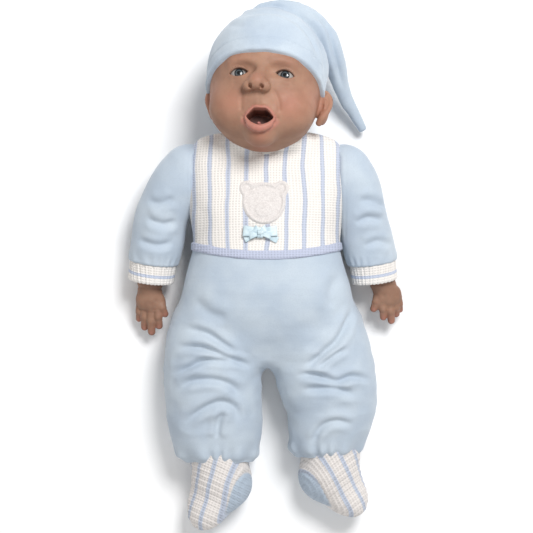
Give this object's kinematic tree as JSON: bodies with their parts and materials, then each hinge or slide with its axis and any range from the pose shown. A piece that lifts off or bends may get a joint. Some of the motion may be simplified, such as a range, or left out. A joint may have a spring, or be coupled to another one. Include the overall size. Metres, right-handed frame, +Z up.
{
  "type": "interactive baby doll",
  "caption": "Baby doll lying on its back, with a vinyl head, hands and feet, a stuffed body in a sleepsuit and cap, and a voice box set off by a pad on the chest.",
  "frame": {"origin": "on the floor plane, in the middle of the flat of the doll's back", "axes": "+Z up and the doll's front, +Y from the feet to the head, +X the doll's own left"},
  "size_m": [0.2667, 0.4991, 0.1274],
  "materials": {
    "body_cloth": "woven body cloth",
    "blue_jersey": "soft jersey knit",
    "striped_knit": "waffle knit with lilac stripes",
    "lilac_band": "ribbed knit band",
    "aqua_satin": "satin ribbon",
    "snap_plastic": "moulded",
    "case_plastic": "fine texture",
    "steel": "bright",
    "cell_wrap": "printed wrap, plain",
    "board": "solder mask",
    "speaker_black": "moulded",
    "white_plastic": "moulded",
    "wire_grey": "insulated wire",
    "pellet_cloth": "bag of pellets",
    "cream_plush": "short plush",
    "vinyl_skin": "soft vinyl",
    "eye_plastic": "polished",
    "mouth_vinyl": "soft vinyl",
    "tongue_vinyl": "soft vinyl"
  },
  "bodies": {
    "torso": {"cloth_torso": "body_cloth", "suit_body": "blue_jersey", "bib_panel": "striped_knit", "bib_trim": "lilac_band", "ribbon_bow": "aqua_satin", "pouch_flap": "body_cloth", "suit_snaps": "snap_plastic", "voice_case_front": "case_plastic", "voice_case_back": "case_plastic", "battery_door": "case_plastic", "case_screws": "steel", "batteries": "cell_wrap", "battery_contacts": "steel", "circuit_board": "board", "speaker": "speaker_black", "sensor_housing": "white_plastic", "press_spring": "steel", "tact_switch": "speaker_black", "sensor_wire": "wire_grey", "neck_socket": "white_plastic", "shoulder_pins": "white_plastic", "hip_pin": "white_plastic", "pellet_bag": "pellet_cloth"},
    "press_pad": {"bear_patch": "cream_plush", "press_plunger": "white_plastic"},
    "switch_knob": {"power_knob": "speaker_black"},
    "neck": {"neck_ball": "white_plastic"},
    "head": {"head_shell": "vinyl_skin", "left_eye": "eye_plastic", "right_eye": "eye_plastic", "mouth_cup": "mouth_vinyl", "tongue": "tongue_vinyl", "cap": "blue_jersey", "cap_tail": "blue_jersey", "neck_bush": "white_plastic"},
    "left_arm": {"left_upper_arm": "body_cloth", "left_sleeve": "blue_jersey", "left_cuff": "striped_knit", "left_shoulder_disc": "white_plastic"},
    "left_hand": {"left_forearm": "vinyl_skin"},
    "left_leg": {"left_thigh": "body_cloth", "left_trouser": "blue_jersey", "left_vinyl_leg": "vinyl_skin", "left_bootie": "striped_knit", "left_sole": "blue_jersey", "left_hip_disc": "white_plastic"},
    "right_arm": {"right_upper_arm": "body_cloth", "right_sleeve": "blue_jersey", "right_cuff": "striped_knit", "right_shoulder_disc": "white_plastic"},
    "right_hand": {"right_forearm": "vinyl_skin"},
    "right_leg": {"right_thigh": "body_cloth", "right_trouser": "blue_jersey", "right_vinyl_leg": "vinyl_skin", "right_bootie": "striped_knit", "right_sole": "blue_jersey", "right_hip_disc": "white_plastic"}
  },
  "joints": [
    {"name": "head_nod", "type": "hinge", "parent": "torso", "child": "neck", "pos_m": [0, 0.112, 0.056], "axis": [1, 0, 0], "range_deg": [0, 12], "deforming": ["cap_tail"]},
    {"name": "head_turn", "type": "hinge", "parent": "neck", "child": "head", "pos_m": [0, 0.112, 0.056], "axis": [0, 0.9659, -0.2588], "range_deg": [-40, 40], "deforming": ["cap_tail"]},
    {"name": "chest_press", "type": "slide", "parent": "torso", "child": "press_pad", "axis": [0, 0, -1], "range_m": [0, 0.0025], "stiffness_N_per_m": 300, "springref_m": -0.003, "deforming": ["press_spring"]},
    {"name": "power_slide", "type": "slide", "parent": "torso", "child": "switch_knob", "axis": [-1, 0, 0], "range_m": [0, 0.004]},
    {"name": "left_shoulder", "type": "hinge", "parent": "torso", "child": "left_arm", "pos_m": [0.0735, 0.088, 0.045], "axis": [-1, 0, 0], "range_deg": [0, 135]},
    {"name": "left_wrist_turn", "type": "hinge", "parent": "left_arm", "child": "left_hand", "pos_m": [0.104, 0.026, 0.028], "axis": [0.1947, -0.9733, -0.1217], "range_deg": [-40, 40]},
    {"name": "left_hip", "type": "hinge", "parent": "torso", "child": "left_leg", "pos_m": [0.0096, -0.072, 0.038], "axis": [-1, 0, 0], "range_deg": [0, 90]},
    {"name": "right_shoulder", "type": "hinge", "parent": "torso", "child": "right_arm", "pos_m": [-0.0735, 0.088, 0.045], "axis": [-1, 0, 0], "range_deg": [0, 135]},
    {"name": "right_wrist_turn", "type": "hinge", "parent": "right_arm", "child": "right_hand", "pos_m": [-0.1075, 0.026, 0.028], "axis": [-0.1404, -0.9831, -0.117], "range_deg": [-40, 40]},
    {"name": "right_hip", "type": "hinge", "parent": "torso", "child": "right_leg", "pos_m": [-0.0096, -0.072, 0.038], "axis": [-1, 0, 0], "range_deg": [0, 90]}
  ]
}
